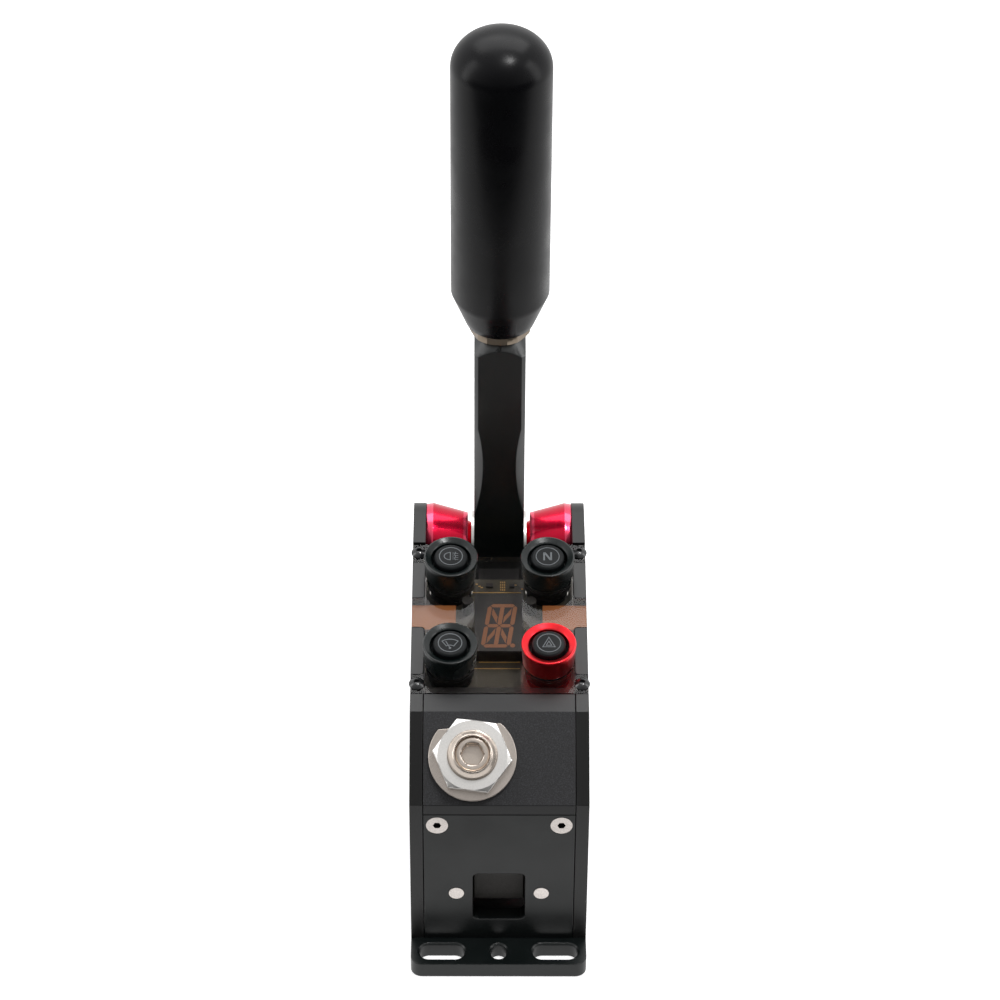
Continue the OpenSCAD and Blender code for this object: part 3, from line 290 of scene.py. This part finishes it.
# The clear cover lies on other faces, so its own are drawn a hair inside them
cover = weld_mesh("top_cover")
hair = cover.modifiers.new("hair", "DISPLACE")
hair.strength = -COVER_INSET * MM
hair.mid_level = 0.0
corners = cover.modifiers.new("corners", "EDGE_SPLIT")
corners.split_angle = SHARP
# Lamp light reaches what lies under the cover straight through it
cover.visible_shadow = False
cover.visible_diffuse = False


# A second look on some faces of a piece: a darker edge on the cover, painted shade in the front screws'
# sockets and a painted highlight on the pivot cones' rims

def second_finish_and_painted_light(node, look, chosen):
    """Gives another look to the faces of a node for which chosen(face) holds."""
    mesh = NODES[node].data
    mesh.materials.append(LOOKS[look])
    for face in mesh.polygons:
        face.material_index = 1 if chosen(face) else 0


def below(level):
    """Whether a face lies behind the front level; such faces of the front screws get painted shade."""
    return lambda face: face.center.y > level + LEVEL_SLACK * MM


def on_rim(outer, inner):
    """Whether a face lies on one of a spacer's two rims, between its outer and inner ends, where the
    painted highlight goes.
    """
    def chosen(face):
        depth = (outer - abs(face.center.x)) / MM
        left = (abs(face.center.x) - inner) / MM
        return depth < OUTER_RIM or HUB_W < left < HUB_W + INNER_RIM
    return chosen


# Widths in millimetres, and how far a cover face may lean and still be one of its flat sides
OUTER_RIM = 2.55
INNER_RIM = 1.6
HUB_W = 1.3
LEVEL_SLACK = 0.05
FLAT_SIDE = 0.7
# The front screws' faces behind their front face, the hex sockets among them, take near-black steel:
# painted shade in the sockets
screw_front = min(v.co.y for v in NODES["front_screws"].data.vertices)
second_finish_and_painted_light("front_screws", "painted_shade_steel", below(screw_front))
second_finish_and_painted_light("top_cover", "smoke_edge", lambda face: abs(face.normal.dot(PANEL_OUT)) < FLAT_SIDE)
# The pivot cones' rims take a lighter, pinker red: a painted highlight
for name in ("pivot_cone_left", "pivot_cone_right"):
    ends = [abs(v.co.x) for v in NODES[name].data.vertices]
    second_finish_and_painted_light(name, "rim_highlight_red", on_rim(max(ends), min(ends)))


# Small pieces laid on the frame

def outer_face(node, out, up):
    """Middle of a node's outermost flat face along out, with up as the direction up that face."""
    points = [v.co for v in NODES[node].data.vertices]
    level = max(p.dot(out) for p in points)
    rim = [p for p in points if level - p.dot(out) < 0.01 * MM]
    xs, ys = [p.x for p in rim], [p.dot(up) for p in rim]
    return ACROSS * (min(xs) + max(xs)) / 2 + up * (min(ys) + max(ys)) / 2 + out * level


def laid_plates(name, origin, outlines, thickness, look, body):
    """Thin closed plates on the panel: outlines in millimetres about origin, across and up the panel."""
    shape = bmesh.new()
    for outline in outlines:
        low = [shape.verts.new(origin + (ACROSS * x + PANEL_UP * y) * MM) for x, y in outline]
        high = [shape.verts.new(v.co + PANEL_OUT * thickness * MM) for v in low]
        shape.faces.new(low[::-1])
        shape.faces.new(high)
        for k in range(len(low)):
            n = (k + 1) % len(low)
            shape.faces.new((low[k], low[n], high[n], high[k]))
    bmesh.ops.recalc_face_normals(shape, faces=shape.faces)
    mesh = bpy.data.meshes.new(name)
    shape.to_mesh(mesh)
    shape.free()
    piece = bpy.data.objects.new(name, mesh)
    bpy.context.scene.collection.objects.link(piece)
    mesh.materials.append(LOOKS[look])
    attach(piece, body)


def stroke(points, width, closed=False):
    """A line of even width with mitred corners, as one outline to each length of it."""
    count = len(points)
    spots = [Vector(p) for p in points]
    sides = []
    for k, spot in enumerate(spots):
        before = spots[k - 1] if closed or k else None
        after = spots[(k + 1) % count] if closed or k < count - 1 else None
        ways = [spot - before] if before else []
        ways += [after - spot] if after else []
        ways = [way.normalized() for way in ways]
        along = sum(ways, Vector((0, 0))).normalized()
        lean = max(0.4, along.dot(ways[0]))
        sides.append(Vector((-along.y, along.x)) * (width / 2 / lean))
    pairs = [(k, (k + 1) % count) for k in range(count if closed else count - 1)]
    return [[tuple(spots[a] + sides[a]), tuple(spots[a] - sides[a]), tuple(spots[b] - sides[b]),
             tuple(spots[b] + sides[b])] for a, b in pairs]


def arc(cx, cy, r, start, end, steps):
    """Points along an arc, its angles in degrees."""
    angles = [math.radians(start + (end - start) * k / steps) for k in range(steps + 1)]
    return [(cx + r * math.cos(angle), cy + r * math.sin(angle)) for angle in angles]


# Icons on the caps, in millimetres

ICON_LINE = 0.3
THIN_LINE = 0.7 * ICON_LINE
NEUTRAL_LINE = 0.6
ICON_RING = 4.1
RING_STEPS = 48


def rectangle(x, y, w, h):
    """A rectangle about its middle."""
    left, right, low, high = x - w / 2, x + w / 2, y - h / 2, y + h / 2
    return [(left, low), (right, low), (right, high), (left, high)]


def fog_icon():
    lamp = [(-0.2 + 2.2 * x, 1.75 * y) for x, y in arc(0, 0, 1, 90, 270, 16)]
    beams = [stroke([(0.5, y), (2.6, y - 0.3)], THIN_LINE) for y in (1.5, 0.55, -0.4, -1.35)]
    wave = [(1.5 + 0.2 * math.sin(k * math.pi / 3), 2.0 - 0.3 * k) for k in range(14)]
    return stroke(lamp, ICON_LINE, True) + sum(beams, []) + stroke(wave, THIN_LINE)


def neutral_icon():
    posts = [rectangle(x, 0, NEUTRAL_LINE, 3.8) for x in (-1.25, 1.25)]
    edge = 1.25 + NEUTRAL_LINE / 2
    return posts + [[(-edge, 1.9), (edge - 0.8, -1.9), (edge, -1.9), (0.8 - edge, 1.9)]]


def wiper_icon():
    screen = arc(0, -3.4, 5.0, 56, 124, 12) + arc(0, -3.4, 2.3, 124, 56, 8)
    arm = stroke([(0.0, -2.4), (-1.5, 0.7)], ICON_LINE)
    hub = stroke(arc(0, -2.4, 0.3, 0, 315, 7), ICON_LINE, True)
    return stroke(screen, ICON_LINE, True) + arm + hub


def hazard_icon():
    outer = [(0, 2.6), (-2.15, -1.8), (2.15, -1.8)]
    inner = [(0, 0.8), (-0.95, -1.1), (0.95, -1.1)]
    return stroke(outer, ICON_LINE, True) + stroke(inner, ICON_LINE, True)


ICONS = {"fog": fog_icon, "neutral": neutral_icon, "wiper": wiper_icon, "hazard": hazard_icon}
PRINT_T = 0.03
CHIP_T = 0.8
for name, icon in ICONS.items():
    cap_face = outer_face("cap_" + name, PANEL_OUT, PANEL_UP)
    ring = stroke(arc(0, 0, ICON_RING, 0, 360 - 360 / RING_STEPS, RING_STEPS - 1), ICON_LINE, True)
    cap = "cap_" + name
    laid_plates("icon_" + name, cap_face, ring + icon(), PRINT_T, "icon_grey", cap)


# Display digit: fourteen bars and a point, leaning to the right

DIGIT_W = 9.0
DIGIT_H = 18.8
DIGIT_DOWN = 1.7
BAR_W = 1.5
BAR_GAP = 0.2
DIGIT_LEAN = math.tan(math.radians(8))
POINT_R = 0.9


def bar(start, end):
    """A straight bar with pointed ends between two corners of the digit."""
    a, b = Vector(start), Vector(end)
    way = (b - a).normalized()
    off = Vector((-way.y, way.x)) * BAR_W / 2
    a, b = a + way * BAR_GAP, b - way * BAR_GAP
    inset = way * BAR_W / 2
    return [a, a + inset + off, b - inset + off, b, b - inset - off, a + inset - off]


def digit():
    right, top = DIGIT_W / 2, DIGIT_H / 2
    corners = [(-right, top), (right, top), (right, 0), (right, -top), (-right, -top), (-right, 0)]
    bars = [bar(corners[k], corners[(k + 1) % 6]) for k in range(6)]
    bars += [bar((-right, 0), (0, 0)), bar((0, 0), (right, 0))]
    bars += [bar((0, 0), (0, top)), bar((0, -top), (0, 0))]
    inner, reach, thick = BAR_W * 0.75, right - BAR_W * 0.75, BAR_W * 0.9
    for i in (-1, 1):
        for j in (-1, 1):
            near, far = inner + 2.2 * thick, top - inner
            corners = [(inner, inner), (inner, near), (reach, far), (reach, far - 2.2 * thick)]
            bars.append([Vector((i * x, j * y)) for x, y in corners])
    leaned = [[(p.x + p.y * DIGIT_LEAN, p.y) for p in outline] for outline in bars]
    point_x, point_y = right + 1.5, -top + 0.2
    leaned.append([(x + point_y * DIGIT_LEAN, y) for x, y in arc(point_x, point_y, POINT_R, 0, 345, 23)])
    return leaned


display_face = outer_face("display_module", PANEL_OUT, PANEL_UP) - PANEL_UP * DIGIT_DOWN * MM
laid_plates("display_segments", display_face, digit(), PRINT_T, "segment_brown", "chassis")


# Board details under the cover

board_face = outer_face("display_board", PANEL_OUT, PANEL_UP)
tracks = [rectangle(-0.9, 20.6, 17.6, 0.35), rectangle(0.1, -12.2, 14.5, 0.35),
          rectangle(-1.3, -15.1, 17.2, 0.3)]
tracks += [rectangle(x, -25.4, 1.0, 0.8) for x in (-0.4, 1.8, 4.2, 6.2)]
tracks += [rectangle(0.6 + 0.7 * i, 21.9 + 1.2 * j, 0.4, 0.7) for i in range(3) for j in range(4)]
PADS = ((-8.0, 24.6), (-7.0, 23.6), (-6.2, 23.0), (6.0, 24.2), (8.3, 22.3))
tracks += [rectangle(x, y, 0.8, 0.5) for x, y in PADS]
laid_plates("board_tracks", board_face, tracks, 2 * PRINT_T, "gold", "chassis")
chips = [rectangle(-3.4, 23.6, 2.4, 1.6), rectangle(4.6, 23.4, 1.8, 1.2)]
laid_plates("board_chips", board_face, chips, CHIP_T, "black_plastic", "chassis")


# Stage

FLOOR_SIZE = 12.0
FLOOR_LIFT = 0.78
FLOOR_DROP = 0.2 * MM
FRONT_DIM = 0.06
FRONT_FALL = (-0.19, -0.15)
ROOM_LIGHT = 0.12
ROOM_FRONT = 0.2


def stage_floor():
    """White floor, lifted towards white where it is seen, so that the shadow stays faint.

    Its reflection darkens in front of the camera's view, as a floor does under an unlit camera.
    """
    mesh = bpy.data.meshes.new("floor")
    half = FLOOR_SIZE / 2
    square = [(-half, -half, 0), (half, -half, 0), (half, half, 0), (-half, half, 0)]
    mesh.from_pydata(square, [], [(0, 1, 2, 3)])
    floor = bpy.data.objects.new("floor", mesh)
    floor.location.z = -FLOOR_DROP
    bpy.context.scene.collection.objects.link(floor)
    mat, tree, bsdf, add = shader("floor_white")
    speck = add("ShaderNodeTexNoise", {"Scale": 40.0})
    tone = add("ShaderNodeMapRange", {"Value": speck.outputs["Fac"], "To Min": 0.86, "To Max": 0.90})
    tree.links.new(tone.outputs["Result"], bsdf.inputs["Base Color"])
    bsdf.inputs["Roughness"].default_value = 0.9
    bsdf.inputs["Specular IOR Level"].default_value = 0.0
    path = add("ShaderNodeLightPath")
    seen = add("ShaderNodeMath", {0: path.outputs["Is Camera Ray"],
                                  1: path.outputs["Is Transmission Ray"]}, operation="MAXIMUM")
    lift = add("ShaderNodeMath", {0: seen.outputs["Value"], 1: FLOOR_LIFT}, operation="MULTIPLY")
    glow = add("ShaderNodeEmission", {"Strength": lift.outputs["Value"]})
    lit = add("ShaderNodeAddShader", {0: bsdf.outputs["BSDF"], 1: glow.outputs["Emission"]})
    place = add("ShaderNodeSeparateXYZ", {"Vector": add("ShaderNodeTexCoord").outputs["Object"]})
    fall = add("ShaderNodeMapRange", {"Value": place.outputs["Y"], "From Min": FRONT_FALL[0],
                                      "From Max": FRONT_FALL[1], "To Min": FRONT_DIM, "To Max": 1.0})
    mirrored = add("ShaderNodeEmission", {"Strength": fall.outputs["Result"]})
    both = add("ShaderNodeMixShader", {0: path.outputs["Is Glossy Ray"], 1: lit.outputs["Shader"],
                                       2: mirrored.outputs["Emission"]})
    tree.links.new(both.outputs["Shader"], tree.nodes["Material Output"].inputs["Surface"])
    mesh.materials.append(mat)


def studio_world():
    """A white room where it is seen, mirrored or looked through, darker towards the camera.

    It lights matt faces only faintly.
    """
    world = bpy.data.worlds.new("studio")
    bpy.context.scene.world = world
    world.use_nodes = True
    tree = world.node_tree
    back = tree.nodes["Background"]
    back.inputs["Color"].default_value = (1.0, 1.0, 1.0, 1.0)
    way = tree.nodes.new("ShaderNodeTexCoord")
    split = tree.nodes.new("ShaderNodeSeparateXYZ")
    fall = tree.nodes.new("ShaderNodeMapRange")
    path = tree.nodes.new("ShaderNodeLightPath")
    glass = tree.nodes.new("ShaderNodeMath")
    shown = tree.nodes.new("ShaderNodeMix")
    pick = tree.nodes.new("ShaderNodeMix")
    glass.operation = "MAXIMUM"
    for key, value in (("From Min", -1.0), ("From Max", 0.0), ("To Min", ROOM_FRONT), ("To Max", 1.0)):
        fall.inputs[key].default_value = value
    shown.inputs["A"].default_value = ROOM_LIGHT
    pick.inputs["B"].default_value = 1.0
    tree.links.new(way.outputs["Generated"], split.inputs["Vector"])
    tree.links.new(split.outputs["Y"], fall.inputs["Value"])
    tree.links.new(path.outputs["Is Glossy Ray"], glass.inputs[0])
    tree.links.new(path.outputs["Is Transmission Ray"], glass.inputs[1])
    tree.links.new(glass.outputs["Value"], shown.inputs["Factor"])
    tree.links.new(fall.outputs["Result"], shown.inputs["B"])
    tree.links.new(shown.outputs["Result"], pick.inputs["A"])
    tree.links.new(path.outputs["Is Camera Ray"], pick.inputs["Factor"])
    tree.links.new(pick.outputs["Result"], back.inputs["Strength"])


def softbox(name, place, aim, size, power):
    lamp = bpy.data.lights.new(name, "AREA")
    lamp.shape = "RECTANGLE"
    lamp.size, lamp.size_y = size
    lamp.energy = power
    box = bpy.data.objects.new(name, lamp)
    box.location = place
    box.rotation_euler = (Vector(aim) - Vector(place)).to_track_quat("-Z", "Y").to_euler()
    bpy.context.scene.collection.objects.link(box)


AIM = (0, 0, 0.12)
stage_floor()
studio_world()
# Place and size in metres, power in watts
softbox("top_back", (0.0, 0.55, 1.05), AIM, (1.2, 0.6), 5.6)
softbox("key", (0.26, -0.16, 1.32), AIM, (0.20, 0.20), 4.0)
for name, side in (("left_strip", -1), ("right_strip", 1)):
    softbox(name, (side * 0.9, -0.05, 0.5), AIM, (0.3, 1.0), 2.0)


# Camera

FOCAL = 126.0
SENSOR_W = 36.0
CAMERA_PLACE = Vector((0.0, -0.9351, 0.9090))
CAMERA_DOWN = math.radians(39)
CAMERA_TURN = math.radians(-0.39)
CAMERA_ROLL = math.radians(0.36)
camera_data = bpy.data.cameras.new("camera")
camera_data.lens = FOCAL
camera_data.sensor_width = SENSOR_W
camera_data.clip_start = 0.05
camera = bpy.data.objects.new("camera", camera_data)
turn = Matrix.Rotation(CAMERA_TURN, 4, "Z")
tilt = Matrix.Rotation(math.pi / 2 - CAMERA_DOWN, 4, "X")
camera.location = turn @ CAMERA_PLACE
camera.rotation_euler = (turn @ tilt @ Matrix.Rotation(CAMERA_ROLL, 4, "Z")).to_euler()
bpy.context.scene.collection.objects.link(camera)
bpy.context.scene.camera = camera
bpy.context.scene.view_settings.view_transform = "Standard"
